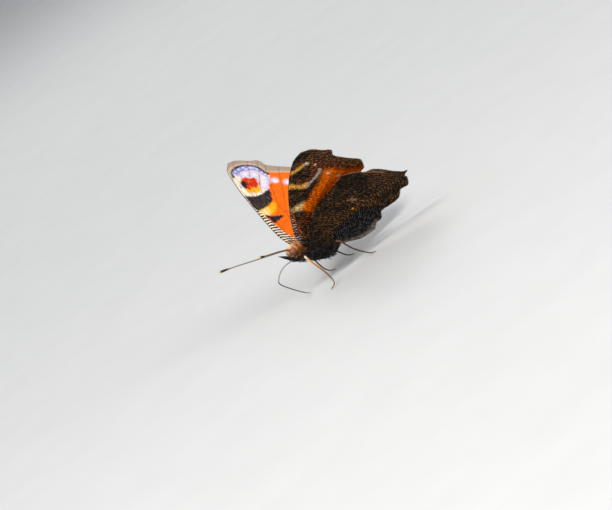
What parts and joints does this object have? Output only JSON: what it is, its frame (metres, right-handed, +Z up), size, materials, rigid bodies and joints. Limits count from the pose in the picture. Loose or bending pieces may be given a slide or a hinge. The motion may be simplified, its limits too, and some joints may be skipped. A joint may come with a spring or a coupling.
{
  "type": "peacock butterfly",
  "caption": "Life-size peacock butterfly standing with its wings half raised, feelers spread and tongue uncurled, a still display model.",
  "frame": {"origin": "on the floor, under the middle of the outline's box", "axes": "+Z up; the head looks along -X and the insect's left side faces -Y"},
  "size_m": [0.0428, 0.0446, 0.0324],
  "materials": {
    "wing": "scaly membrane, rust red above with eyespots, near black below",
    "fur": "short hair, rust brown above, black brown below",
    "eye": "glossy dark brown with fine facets",
    "limb": "satin, ochre brown with darker joints",
    "feeler": "satin, dark brown with pale rings and tips"
  },
  "bodies": {
    "root": {"head": "fur", "thorax": "fur", "abdomen": "fur", "proboscis": "feeler", "eye_l": "eye", "eye_r": "eye", "antenna_l": "feeler", "antenna_r": "feeler", "palp_l": "fur", "palp_r": "fur", "foreleg_l": "limb", "foreleg_r": "limb", "midleg_l": "limb", "midleg_r": "limb", "hindleg_l": "limb", "hindleg_r": "limb", "forewing_l": "wing", "forewing_r": "wing", "hindwing_l": "wing", "hindwing_r": "wing"}
  },
  "joints": []
}
